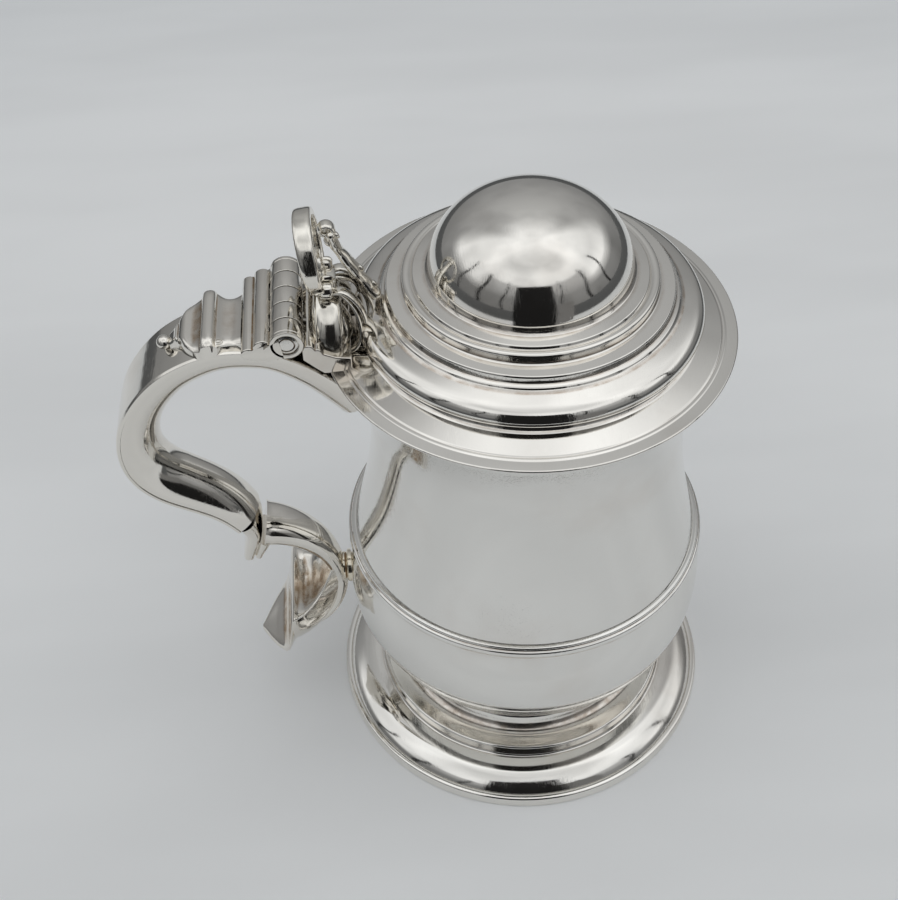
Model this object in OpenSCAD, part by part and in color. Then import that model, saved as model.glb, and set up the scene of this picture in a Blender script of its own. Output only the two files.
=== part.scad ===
// Lidded baluster tankard with a domed hinged lid and a double-scroll handle.
// Z runs up the axis of the body from the table, and the handle is towards -X.
// Every profile point is [distance from the axis, height].

/* [Body] */
// Height of the mouth above the table
mouth_z = 156.4; // [150:0.2:162]
// Outer radius of the shell at the mouth
mouth_r = 52.8; // [50:0.2:56]
// Outer radius of the shell at the narrow neck
neck_r = 46.6; // [43:0.2:49]
// Outer radius of the shell at the belly
belly_r = 57.3; // [54:0.2:60]
// Thickness of the raised metal
wall = 1.2; // [0.8:0.1:2]

/* [Foot] */
// Radius of the foot where it meets the table
foot_r = 62.5; // [58:0.5:66]
// Height of the wire soldered round the foot
foot_wire_h = 4.1; // [3:0.1:6]

/* [Lid] */
// Outer radius of the lid's flange
lid_r = 58; // [56:0.2:62]
// Height of the dome above its lowest step
dome_h = 21.4; // [15:0.2:26]
// Radius of the dome
dome_r = 28; // [24:0.2:31]
// Gap between the closed lid and the mouth
lid_gap = 0.3; // [0.2:0.05:0.6]

/* [Hinge] */
// Distance of the hinge pin from the body's axis
pin_x = 66.8; // [65:0.2:70]
// Height of the hinge pin above the table
pin_z = 168.8; // [167:0.2:171]
// Outer radius of the knuckles
knuckle_r = 4.5; // [4:0.1:5.2]
// Length of the whole hinge barrel
barrel_l = 33; // [28:0.5:36]
// Radius of the hinge pin
pin_r = 1.6; // [1.2:0.1:2]
// Radial clearance of the lid's knuckles on the pin
pin_clearance = 0.05; // [0.02:0.01:0.1]

/* [Handle] */
// Width of the handle at the hinge
handle_top_w = 24.5; // [20:0.5:28]
// Width of the handle at the seam above the lower scroll
handle_end_w = 18; // [14:0.5:20]
// Depth of the rounded channel behind the strap
channel_depth = 11; // [8:0.5:13]
// Thickness of the strap and of the channel's wall
strap_t = 1.4; // [1:0.1:2]

/* [Hidden] */

$fn = 96;
knuckle_gap = 0.3;
knuckle_l = barrel_l / 5;
swing_r = knuckle_r + 0.35;
cap_r = 3.35;
cap_depth = 1;
curve_steps = 6;

// Smooth open curve through its points: each span is a cubic that leaves a point
// in the direction from the point before it to the point after it.
function span_point(a, b, c, d, t) =
    0.5 * (2 * b + t * (c - a) + t * t * (2 * a - 5 * b + 4 * c - d) + t * t * t * (3 * b - a - 3 * c + d));
function smooth(p, n = curve_steps) = [
    for (i = [0 : len(p) - 2])
        for (k = [0 : n - 1])
            span_point(p[max(i - 1, 0)], p[i], p[i + 1], p[min(i + 2, len(p) - 1)], k / n),
    p[len(p) - 1]];

// Unit direction of a curve at point i, and the direction to its left
function along(p, i) =
    let (d = p[min(i + 1, len(p) - 1)] - p[max(i - 1, 0)]) d / norm(d);
function left_of(v) = [-v[1], v[0]];
// The same curve moved sideways by t, to its left
function beside(p, t) = [for (i = [0 : len(p) - 1]) p[i] + t * left_of(along(p, i))];
function reversed(p) = [for (i = [len(p) - 1 : -1 : 0]) p[i]];

// Body of one closed ring of points for each step along a path, with flat ends
module loft(rings) {
    n = len(rings[0]);
    m = len(rings);
    polyhedron(
        points = [for (ring = rings) for (p = ring) p],
        faces = concat(
            [[for (k = [0 : n - 1]) k]],
            [[for (k = [n - 1 : -1 : 0]) (m - 1) * n + k]],
            [for (i = [0 : m - 2]) for (k = [0 : n - 1])
                [i * n + k, (i + 1) * n + k, (i + 1) * n + (k + 1) % n]],
            [for (i = [0 : m - 2]) for (k = [0 : n - 1])
                [i * n + k, (i + 1) * n + (k + 1) % n, i * n + (k + 1) % n]]),
        convexity = 8);
}

// Section points [across, outwards] set on a handle path given as [distance from the axis, height]
function set_section(path, i, section) =
    let (out = left_of(along(path, i)))
    [for (q = section) [-(path[i][0] + q[1] * out[0]), q[0], path[i][1] + q[1] * out[1]]];

// ---- body ----

lower_wall = smooth([[36.5, 23.2], [41, 25.2], [46.5, 30], [51.4, 36.6], [54.6, 43], [56.8, 50.5],
    [belly_r, 57.5], [56.7, 65.5], [55, 73.2], [54.4, 77.2]]);
upper_wall = smooth([[53.9, 79], [51.8, 87], [49.7, 96], [48, 106], [neck_r + 0.3, 116], [neck_r, 125],
    [neck_r + 0.7, 134], [neck_r + 2.2, 141], [mouth_r - 2, 147.5],
    [mouth_r - 0.5, 152.5], [mouth_r, mouth_z]]);
body_outline = concat(lower_wall, upper_wall);
body_lining = beside(body_outline, wall);
floor_z = 23.2;

module body_shell() {
    color("silver")
    rotate_extrude()
        polygon(concat([[0, floor_z]], body_outline, reversed(body_lining), [[0, floor_z + wall]]));
}

module mouth_moulding() {
    color("silver")
    difference() {
        rotate_extrude()
            polygon([[50.5, 151.6], [mouth_r + 0.2, 151.6], [mouth_r + 0.9, 152.4], [mouth_r + 0.6, 153],
                [mouth_r + 1.3, 153.9], [mouth_r + 1.5, 154.9], [mouth_r + 1.2, 155.9],
                [mouth_r + 0.6, mouth_z], [50.5, mouth_z]]);
        body_core();
    }
}

// Everything inside the outer surface of the body shell
module body_core() {
    rotate_extrude()
        polygon(concat([[0, floor_z]], body_outline, [[0, mouth_z]]));
    translate([0, 0, mouth_z - 0.01])
        cylinder(r = mouth_r, h = 1);
}

girdle_z = 73.1;
module girdle_band() {
    color("silver")
    difference() {
        rotate_extrude()
            polygon([[52, girdle_z], [55.4, girdle_z], [55.9, girdle_z + 0.4], [55.7, girdle_z + 1.4],
                [56.1, girdle_z + 1.8], [56.5, girdle_z + 2.8], [56.2, girdle_z + 3.9],
                [55.4, girdle_z + 4.3], [55.2, girdle_z + 5], [54.2, girdle_z + 5.3], [52, girdle_z + 5.3]]);
        body_core();
    }
}

// ---- foot ----

foot_face = concat(
    smooth([[36.6, 19.2], [39, 17.2], [40.1, 14.6], [41.6, 13.2], [44.4, 12.7], [47.8, 12.9]], 4),
    [[48.3, 12.5], [48.5, 9.4], [49, 8.9]],
    smooth([[51.4, 8.8], [54.6, 8.2], [57.2, 6.9], [59.4, 5.3], [60.4, foot_wire_h]], 4));

module foot_collar() {
    color("silver")
    difference() {
        rotate_extrude()
            polygon([[34.8, 17.6], [38, 18.3], [38.6, 19], [38.3, 19.6], [39, 20.3], [39.1, 21.2],
                [38.4, 21.9], [37.4, 24], [34.8, 24]]);
        body_core();
        rotate_extrude()
            polygon(concat([[30, 10]], [[30, 19.2]], foot_face, [[60.4, 0], [30, 0]]));
    }
}

module foot_shell() {
    color("silver")
    rotate_extrude()
        polygon(concat(foot_face, reversed(beside(foot_face, -wall))));
}

module foot_wire() {
    color("silver")
    rotate_extrude()
        polygon([[58.2, 0], [foot_r - 0.3, 0], [foot_r, 0.3], [foot_r, foot_wire_h - 0.9],
            [foot_r - 0.4, foot_wire_h - 0.2], [foot_r - 1.2, foot_wire_h],
            [60.4, foot_wire_h], [59.4, foot_wire_h - 1.1], [58.2, foot_wire_h - 1.1]]);
}

// ---- handle ----

// Crown line of the strap from the body, over the top and down to the seam
strap_line = smooth([
    [46.5, 141], [52.4, 147.8], [58, 153.4], [64, 158], [71, 161.6], [79, 163.1], [86, 163.1],
    [92, 161.7], [97.5, 159.3], [102.7, 156.2], [107.6, 152], [112, 146.9], [115.8, 141], [118.6, 134.4],
    [120.1, 127.5], [120.2, 120.5], [118.5, 113.6], [115, 107.6], [110.2, 102.8], [104.6, 99],
    [98.8, 95.2], [94, 90.9], [90.4, 86.1]], 2);
function share(i, p) = i / (len(p) - 1);
function strap_w(i) = handle_top_w + (handle_end_w - handle_top_w) * share(i, strap_line);

// The strap is a flat ribbon with a slightly crowned outer face
function strap_section(w) = [[-w / 2, -strap_t], [w / 2, -strap_t], [w / 2, -0.5], [w / 3, -0.1],
    [0, 0], [-w / 3, -0.1], [-w / 2, -0.5]];
module handle_strap() {
    color("silver")
    difference() {
        loft([for (i = [0 : len(strap_line) - 1]) set_section(strap_line, i, strap_section(strap_w(i)))]);
        body_core();
    }
}

// The channel is half an oval tube whose edges are soldered under the strap
channel_arc = [for (k = [0 : 10]) 180 - 18 * k];
function channel_half(w, depth, shrink) =
    [for (a = channel_arc) [(w / 2 - shrink) * cos(a), -strap_t - (depth - shrink) * sin(a)]];
function channel_section(w, depth) =
    concat(channel_half(w, depth, 0.3), reversed(channel_half(w, depth, 0.3 + wall)));
module handle_channel() {
    color("silver")
    difference() {
        loft([for (i = [0 : len(strap_line) - 1])
            set_section(strap_line, i, channel_section(strap_w(i), channel_depth))]);
        body_core();
    }
}

// Spur that turns down from the end of the strap
spur_line = smooth([[90.4, 86.1], [89, 82.4], [89.3, 77.5], [90.2, 72.4], [91, 67.2]], 4);
function spur_section(w, t) =
    [[-w / 2, -t], [w / 2, -t], [w / 2, -1], [w / 4, 0], [-w / 4, 0], [-w / 2, -1]];
module handle_spur() {
    color("silver")
    loft([for (i = [0 : len(spur_line) - 1])
        let (f = share(i, spur_line))
        set_section(spur_line, i, spur_section(handle_end_w * (1 - 0.45 * f), 6.5 - 3.3 * f))]);
}

// ---- lower scroll ----

// Middle line of the lower scroll, from the seam past the body and out to its tail
scroll_line = smooth([[82.6, 80.6], [78, 79.4], [72.8, 76.6], [67.8, 72], [64, 65.8], [61.6, 58.4],
    [60.8, 50.6], [62.4, 42.4], [65.8, 35], [70.8, 29], [76.6, 25.4]], 4);
function scroll_w(f) = 15.5 - 8.5 * min(1, f * 1.7) + 5 * max(0, f - 0.6) / 0.4;
function scroll_t(f) = 10.6 - 5.4 * min(1, f * 1.9) + 4.5 * max(0, f - 0.6) / 0.4;
function oval(w, t) = [for (a = [0 : 22.5 : 337.5]) [w / 2 * cos(a), -t / 2 * sin(a)]];
module lower_scroll() {
    color("silver")
    loft([for (i = [0 : len(scroll_line) - 1])
        let (f = share(i, scroll_line)) set_section(scroll_line, i, oval(scroll_w(f), scroll_t(f)))]);
}

// Lobe of the lower scroll that follows the spur down beside the seam
heel_line = smooth([[83, 77], [84.2, 73.6], [85.4, 70.4], [86.4, 66.6]], 4);
module scroll_heel() {
    color("silver")
    loft([for (i = [0 : len(heel_line) - 1])
        let (f = share(i, heel_line)) set_section(heel_line, i, oval(13 - 5 * f, 5.2 - 2.6 * f))]);
}

// Flared shield that closes the tail of the scroll and turns up and outwards
shield_line = smooth([[76.8, 18.6], [80.4, 22.4], [82.2, 28], [81.4, 35], [79, 42.4], [75.6, 49.8]], 4);
function shield_w(f) = 7 + 20 * sin(180 * min(1, 0.12 + 0.62 * f));
module terminal_shield() {
    color("silver")
    loft([for (i = [0 : len(shield_line) - 1])
        let (f = share(i, shield_line), w = shield_w(f))
        set_section(shield_line, i, [[-w / 2, -0.8], [w / 2, -0.8], [w / 2, 0.8], [0, 1.4], [-w / 2, 0.8]])]);
}

// Small collared socket that carries the scroll on the belly
socket_z = 56.4;
// The socket stands off the belly by the thickness of its solder
solder_gap = 1.0015;
module lower_socket() {
    color("silver")
    difference() {
        translate([1.2 - belly_r, 0, socket_z])
            rotate([0, -90, 0])
                rotate_extrude()
                    polygon([[0, 0], [5.4, 0], [5.4, 1.6], [4.4, 2.1], [4.6, 2.6], [4.2, 3.1], [0, 3.1]]);
        scale(solder_gap)
            body_core();
    }
}

// ---- moulded drop and hinge ----

module along_hinge(length, y0 = 0) {
    translate([0, y0 + length / 2, 0])
        rotate([90, 0, 0])
            linear_extrude(height = length)
                children();
}

// Rounded edge of a reed, clockwise in the side view from angle a0 to a1
function reed(x, z, r, a0, a1) = [
    for (k = [0 : 10])
        let (a = a0 + (a1 - a0) * k / 10)
        [x + r * cos(a), z + r * sin(a)]];

block_l = barrel_l - 2;
block_z = 163.2;
// Leaf of the hinge on the handle, with two reeds along it, hollowed to clear the barrel
module hinge_block_form() {
    difference() {
        along_hinge(block_l)
            polygon(concat(
                [[-69.5, block_z], [-75.6, block_z], [-78.4, 164.2]],
                reed(-77.2, 165.6, 2.1, 200, 55),
                reed(-73.3, 167.5, 2.6, 183, 20),
                [[-69.5, 168]]));
        barrel_clearance();
    }
}
module barrel_clearance() {
    translate([-pin_x, 0, pin_z])
        rotate([90, 0, 0])
            cylinder(r = swing_r, h = barrel_l + 4, center = true);
}
module hinge_block() {
    color("silver")
    hinge_block_form();
}

// Crown of the strap between two distances from the axis, as points of a side view
function strap_under(near, far) = [
    for (p = strap_line)
        if (p[0] > near && p[0] < far && p[1] > 120)
            [-p[0], p[1]]];

// Shaped drop that tapers from the block to its bead, with a hollow, a half-round rib and a cyma
drop_start = 79.4;
drop_end = 99.6;
drop_edge = smooth([[84, 11], [88, 12], [92, 11.4], [95, 8.4], [97.6, 4.4], [drop_end, 2.6]], 4);
module handle_drop() {
    color("silver")
    intersection() {
        along_hinge(block_l)
            polygon(concat(
                smooth([[-drop_start, 166.4], [-81.6, 165.6], [-84.4, 166], [-86, 167]], 4),
                smooth([[-86.3, 166.8], [-87.4, 168], [-89.4, 167.8], [-90.4, 166.2]], 4),
                smooth([[-90.7, 165.3], [-92.6, 164.4], [-95.4, 164.6], [-97, 163]], 4),
                [[-97.3, 161.6], [-drop_end, 160]],
                reversed(strap_under(drop_start, drop_end)),
                [[-drop_start, 163.2]]));
        translate([0, 0, 150])
            linear_extrude(height = 25)
                polygon(concat(
                    [[-78, -11.4]],
                    [for (p = drop_edge) [-p[0], -p[1]]],
                    reversed([for (p = drop_edge) [-p[0], p[1]]]),
                    [[-78, 11.4]]));
    }
}

module drop_bead() {
    color("silver")
    translate([-101.6, 0, 159])
        sphere(r = 2.1);
}

// One knuckle centred at y0, with a bore of radius bore_r
module knuckle(y0, bore_r) {
    difference() {
        children();
        translate([-pin_x, y0, pin_z])
            rotate([90, 0, 0])
                cylinder(r = bore_r, h = knuckle_l + 2, center = true);
    }
}
module barrel_piece(y0) {
    translate([-pin_x, y0, pin_z])
        rotate([90, 0, 0])
            cylinder(r = knuckle_r, h = knuckle_l - knuckle_gap, center = true);
}
// Web that joins a fixed knuckle to the block
module fixed_web(y0) {
    difference() {
        along_hinge(knuckle_l - knuckle_gap, y0)
            polygon([[-pin_x - 1, 164.6], [-72.5, block_z + 0.4], [-73, 168], [-pin_x - 2, 171]]);
        hinge_block_form();
    }
}
module fixed_knuckle(place) {
    color("silver")
    difference() {
        knuckle(place * knuckle_l, pin_r)
            union() {
                barrel_piece(place * knuckle_l);
                fixed_web(place * knuckle_l);
            }
        if (place != 0)
            cap_pocket(sign(place));
    }
}
module cap_pocket(side) {
    translate([-pin_x, side * (barrel_l / 2 - knuckle_gap / 2 - cap_depth / 2 + 0.5), pin_z])
        rotate([90, 0, 0])
            cylinder(r = cap_r, h = cap_depth + 1, center = true);
}
module fixed_knuckle_front() {
    fixed_knuckle(-2);
}
module fixed_knuckle_middle() {
    fixed_knuckle(0);
}
module fixed_knuckle_back() {
    fixed_knuckle(2);
}

pin_l = barrel_l - knuckle_gap - 2 * cap_depth;
module hinge_pin() {
    color("silver")
    translate([-pin_x, 0, pin_z])
        rotate([90, 0, 0])
            cylinder(r = pin_r, h = pin_l, center = true);
}

// Domed cap let into the end of the barrel
module pin_cap(side) {
    color("silver")
    translate([-pin_x, side * pin_l / 2, pin_z])
        rotate([side * -90, 0, 0])
            rotate_extrude()
                polygon([[0, 0], [cap_r, 0], [cap_r, 0.5], [cap_r - 0.4, 0.7],
                    [cap_r - 1.4, 0.85], [0, 0.95]]);
}
module pin_cap_front() {
    pin_cap(-1);
}
module pin_cap_back() {
    pin_cap(1);
}

// ---- lid ----

dome_z = 178;
function dome(r, h, z0) = [for (a = [90 : -7.5 : 0]) [r * cos(a), z0 + h * sin(a)]];
lid_face = concat(
    dome(dome_r, dome_h, dome_z),
    [[28.7, 177.2], [32.1, 176.7], [32.4, 176.2]],
    smooth([[32.6, 175.9], [33.8, 176.3], [35, 175.8], [35.1, 174.8]], 3),
    [[35.1, 173.5], [35.6, 173.2], [39.3, 173], [39.6, 172.6], [39.7, 170.8], [40.8, 170.4], [41.2, 169.8]],
    smooth([[42, 169.3], [44.4, 168.4], [46.6, 167.3], [48, 165.6], [48.2, 163.8], [47.4, 162.5]], 3),
    smooth([[46.8, 162.2], [46.4, 161.2], [47.4, 160.2]], 3),
    [[53.2, 158.35], [53.6, 158.05], [54.1, 158.05], [54.4, 157.95], [54.7, 157.8], [lid_r - 0.3, 157.6],
        [lid_r, 157.3], [lid_r, mouth_z + lid_gap + 0.3], [lid_r - 0.3, mouth_z + lid_gap]]);
lid_lining = concat(
    [[50.6, mouth_z + lid_gap], [45.4, 158.6]],
    smooth([[45, 160.4], [45.4, 162.8], [46.6, 164.4], [45.2, 166.4], [41.6, 167.8]], 3),
    [[38.3, 169.4], [38.1, 171.6], [33.8, 172], [33.6, 174.5], [27.6, 175.9]],
    reversed(dome(dome_r - wall, dome_h - wall, dome_z)));
module lid_cover() {
    color("silver")
    rotate_extrude()
        polygon(concat(lid_face, lid_lining));
}

bezel_r = 49.7;
module lid_bezel() {
    color("silver")
    rotate_extrude()
        polygon([[bezel_r - 1, 151.6], [bezel_r - 0.2, 151.4], [bezel_r, 151.8],
            [bezel_r, mouth_z + lid_gap + 0.25], [bezel_r - 1, mouth_z + lid_gap + 0.52]]);
}

// Everything under the outer surface of the lid, down to the flange
module lid_core() {
    rotate_extrude()
        polygon(concat(lid_face, [[0, mouth_z + lid_gap]]));
}

leaf_l = barrel_l - 2;
module lid_leaf_form() {
    difference() {
        along_hinge(leaf_l)
            polygon(concat(
                [[-62.9, 162.4]],
                reed(-61.3, 165.8, 1.6, 180, 25),
                [[-58.4, 164.6], [-54, 162.6], [-50, 162], [-50, 157.2], [-57.6, 157.2], [-59.6, 159]]));
        barrel_clearance();
        lid_core();
    }
}
module lid_leaf() {
    color("silver")
    lid_leaf_form();
}

module lid_knuckle(place) {
    color("silver")
    knuckle(place * knuckle_l, pin_r + pin_clearance)
        union() {
            barrel_piece(place * knuckle_l);
            difference() {
                along_hinge(knuckle_l - knuckle_gap, place * knuckle_l)
                    polygon([[-pin_x + 1, 164.8], [-60.6, 162.6], [-60.6, 166.4], [-pin_x + 2, 171]]);
                lid_leaf_form();
            }
        }
}
module lid_knuckle_front() {
    lid_knuckle(-1);
}
module lid_knuckle_back() {
    lid_knuckle(1);
}

// ---- thumbpiece ----

// Base of the thumbpiece: an arched casting that spreads over the leaf
base_arch = smooth([[-13, 160], [-12.4, 166.4], [-9, 171.4], [-4, 174.6], [0, 175.4],
    [4, 174.6], [9, 171.4], [12.4, 166.4], [13, 160]], 3);
base_x = -59;
base_w = 9;
module thumb_base() {
    color("silver")
    difference() {
        translate([base_x, 0, 0])
            rotate([90, 0, 90])
                linear_extrude(height = base_w)
                    polygon(concat(base_arch, reversed(beside(base_arch, -3.2))));
        lid_leaf_form();
        lid_core();
    }
}

// Upright ring that the thumb presses, leaning a little towards the handle
loop_x = -58.6;
loop_z = 187;
loop_r = 11.7;
loop_lean = 8;
module thumb_loop() {
    color("silver")
    difference() {
        translate([loop_x, 0, loop_z])
            rotate([0, -loop_lean, 0])
                rotate([0, 90, 0])
                    difference() {
                        cylinder(r = loop_r, h = 5, center = true);
                        cylinder(r = loop_r - 2.6, h = 6, center = true);
                    }
        translate([base_x, 0, 0])
            rotate([90, 0, 90])
                linear_extrude(height = base_w)
                    polygon(base_arch);
    }
}

// Leaf-shaped brace from the back of the loop down to the lid
strut_line = smooth([
    [54.4, 194], [52.4, 189.8], [49.6, 184], [46.6, 178.6], [43.6, 173.4], [41.4, 169.8]], 4);
module thumb_strut() {
    color("silver")
    difference() {
        union() {
            loft([for (i = [0 : len(strut_line) - 1])
                let (f = share(i, strut_line)) set_section(strut_line, i, oval(6 - f, 4.4 + 0.8 * f))]);
            translate([-54.6, 0, 194.8])
                rotate([90, 0, 0])
                    cylinder(r = 3.5, h = 6, center = true);
        }
        lid_core();
        translate([loop_x, 0, loop_z])
            rotate([0, -loop_lean, 0])
                rotate([0, 90, 0])
                    cylinder(r = loop_r + 1, h = 5, center = true);
    }
}

body_shell();
mouth_moulding();
girdle_band();
foot_collar();
foot_shell();
foot_wire();
handle_strap();
handle_channel();
handle_spur();
lower_scroll();
scroll_heel();
terminal_shield();
lower_socket();
handle_drop();
drop_bead();
hinge_block();
fixed_knuckle_front();
fixed_knuckle_middle();
fixed_knuckle_back();
hinge_pin();
pin_cap_front();
pin_cap_back();
lid_cover();
lid_bezel();
lid_leaf();
lid_knuckle_front();
lid_knuckle_back();
thumb_base();
thumb_loop();
thumb_strut();
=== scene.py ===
import bmesh
import bpy
import numpy as np
from mathutils import Matrix


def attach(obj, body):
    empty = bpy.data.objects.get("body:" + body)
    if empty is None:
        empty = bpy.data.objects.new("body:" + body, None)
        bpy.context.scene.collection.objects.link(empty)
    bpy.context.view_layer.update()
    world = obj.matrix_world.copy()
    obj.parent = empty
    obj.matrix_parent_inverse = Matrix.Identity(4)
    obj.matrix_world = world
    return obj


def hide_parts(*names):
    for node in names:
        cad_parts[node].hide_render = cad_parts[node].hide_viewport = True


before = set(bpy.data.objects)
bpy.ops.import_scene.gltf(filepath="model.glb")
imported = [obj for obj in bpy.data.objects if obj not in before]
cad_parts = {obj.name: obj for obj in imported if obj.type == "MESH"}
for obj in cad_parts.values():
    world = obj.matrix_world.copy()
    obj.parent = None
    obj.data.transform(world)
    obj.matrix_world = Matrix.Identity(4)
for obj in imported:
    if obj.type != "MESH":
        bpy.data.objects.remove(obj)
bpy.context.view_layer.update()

# ---- body ----
# Raised from one disc of sheet metal: a low belly, a slender waist and a slightly spreading mouth.
# The hammer marks were planished out and the face polished by hand, so it is very slightly uneven.


def fair_line(points, step=0.8):
    """Curve through the points: a cubic spline over their chord lengths whose second derivative is
    zero at both ends, sampled about every step millimetres."""
    p = np.asarray(points, float)
    reach = np.concatenate([[0], np.cumsum(np.linalg.norm(np.diff(p, axis=0), axis=1))])
    h = np.diff(reach)
    inner = np.arange(1, len(p) - 1)
    system = np.eye(len(p))
    system[inner, inner - 1] = h[:-1]
    system[inner, inner] = 2 * (h[:-1] + h[1:])
    system[inner, inner + 1] = h[1:]
    bends = np.zeros_like(p)
    bends[1:-1] = 6 * (np.diff(p[1:], axis=0) / h[1:, None] - np.diff(p[:-1], axis=0) / h[:-1, None])
    bends = np.linalg.solve(system, bends)
    t = np.linspace(0, reach[-1], max(2, int(np.ceil(reach[-1] / step)) + 1))
    k = np.clip(np.searchsorted(reach, t, side="right") - 1, 0, len(h) - 1)
    u = (t - reach[k])[:, None]
    v = (reach[k + 1] - t)[:, None]
    w = h[k][:, None]
    cubic = (bends[k] * v**3 + bends[k + 1] * u**3) / (6 * w)
    return cubic + (p[k] / w - bends[k] * w / 6) * v + (p[k + 1] / w - bends[k + 1] * w / 6) * u


def eased(points, radius=0.3, closed=True, turn=14, arc=5):
    """The outline with each corner that turns more than turn degrees replaced by a small curve: a
    parabola between two points radius (or 0.45 of the shorter side) away from the corner."""
    p = np.asarray(points, float)
    before = np.roll(p, 1, 0) - p
    after = np.roll(p, -1, 0) - p
    sides = np.minimum(np.linalg.norm(before, axis=1), np.linalg.norm(after, axis=1))
    cut = np.minimum(radius, 0.45 * sides)[:, None, None]
    start = before / np.maximum(np.linalg.norm(before, axis=1, keepdims=True), 1e-9)
    end = after / np.maximum(np.linalg.norm(after, axis=1, keepdims=True), 1e-9)
    t = np.linspace(0, 1, arc)[None, :, None]
    curve = p[:, None] + cut * (start[:, None] * (1 - t) ** 2 + end[:, None] * t**2)
    hard = np.einsum("ij,ij->i", start, end) > -np.cos(np.radians(turn))
    if not closed:
        hard[[0, -1]] = False
    curve[~hard] = p[~hard][:, None]
    keep = np.repeat(hard[:, None], arc, 1)
    keep[:, arc // 2] = True
    return curve[keep]


def beside(line, gap):
    """The open line moved sideways by gap, to its left."""
    run = np.gradient(line, axis=0)
    run /= np.linalg.norm(run, axis=1, keepdims=True)
    return line + gap * np.stack([-run[:, 1], run[:, 0]], 1)


def turned(outline, closed=True, around=288, centre=(0, 0), axis="z"):
    """Skin of an outline carried round an axis. A closed outline makes a ring; an open one starts and
    ends on the axis. Across a hinge axis, centre is [x, z] and the outline is [radius, place along Y]."""
    angle = np.linspace(0, 2 * np.pi, around, endpoint=False)[:, None]
    r, h = np.asarray(outline, float).T
    if axis == "z":
        grid = np.stack([r * np.cos(angle), r * np.sin(angle), h + 0 * angle], -1)
    else:
        grid = np.stack([centre[0] + r * np.cos(angle), h + 0 * angle, centre[1] + r * np.sin(angle)], -1)
    return skin(grid, ring=True) if closed else skin(grid.transpose(1, 0, 2))


def skin(grid, ring=False):
    """Points and faces of a closed skin. Each row of the grid is a closed section, and the rows either
    close on themselves, as round a ring, or end in a flat face. Faces point away from the inside."""
    grid = np.asarray(grid, float)
    index = np.arange(grid.shape[0] * grid.shape[1]).reshape(grid.shape[:2])
    rows = np.vstack([index, index[:1]]) if ring else index
    a, b = rows[:-1], rows[1:]
    quads = np.stack([a, np.roll(a, -1, 1), np.roll(b, -1, 1), b], -1).reshape(-1, 4)
    faces = quads.tolist()
    caps = [] if ring else [index[0][::-1], index[-1]]
    points = grid.reshape(-1, 3)
    caps = [c for c in caps if np.ptp(points[c], axis=0).max() > 1e-6]
    fans = [np.stack([np.full(len(c) - 2, c[0]), c[1:-1], c[2:]], -1) for c in caps]
    corners = points[np.vstack([quads[:, :3], quads[:, [0, 2, 3]], *fans])]
    volume = np.einsum("ij,ij->", corners[:, 0], np.cross(corners[:, 1], corners[:, 2]))
    faces += [c.tolist() for c in caps]
    return points, faces if volume > 0 else [face[::-1] for face in faces]


def piece(name, skins, material, planish=0.0, reach=1.2, crease=38):
    """One mesh object in metres from closed skins: coincident points merged, smooth except at edges
    sharper than crease degrees, and pushed in by up to planish millimetres in slow waves."""
    points = np.vstack([p for p, _ in skins])
    starts = np.cumsum([0] + [len(p) for p, _ in skins])
    faces = [[k + first for k in face] for (_, part), first in zip(skins, starts) for face in part]
    mesh = bpy.data.meshes.new(name)
    mesh.from_pydata((points * 0.001).tolist(), [], faces)
    work = bmesh.new()
    work.from_mesh(mesh)
    bmesh.ops.remove_doubles(work, verts=work.verts, dist=1e-6)
    bmesh.ops.dissolve_degenerate(work, edges=work.edges, dist=1e-7)
    work.to_mesh(mesh)
    work.free()
    co = np.zeros(len(mesh.vertices) * 3)
    normal = np.zeros_like(co)
    mesh.vertices.foreach_get("co", co)
    mesh.vertices.foreach_get("normal", normal)
    co, normal = co.reshape(-1, 3) * 1000, normal.reshape(-1, 3)
    hollow = hollows(mesh, co, normal, reach)
    if planish:
        co -= normal * planish * hammer_waves(co)[:, None]
        mesh.vertices.foreach_set("co", (co * 0.001).ravel())
    mesh.attributes.new("hollow", "FLOAT", "POINT").data.foreach_set("value", hollow)
    mesh.polygons.foreach_set("use_smooth", np.ones(len(mesh.polygons), bool))
    mesh.set_sharp_from_angle(angle=np.radians(crease))
    mesh.update()
    mesh.materials.append(material)
    made = bpy.data.objects.new(name, mesh)
    bpy.context.scene.collection.objects.link(made)
    return made


def hammer_waves(co, seed=5):
    """Unevenness from 0 to 1: the mean of twelve sine waves, 16 to 60 mm long, in seeded directions."""
    draw = np.random.default_rng(seed)
    way = draw.normal(size=(12, 3))
    way *= (2 * np.pi / draw.uniform(16, 60, 12) / np.linalg.norm(way, axis=1))[:, None]
    waves = np.sin(co @ way.T + draw.uniform(0, 2 * np.pi, 12)).mean(axis=1)
    return np.clip(0.5 + waves, 0, 1)


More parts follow.
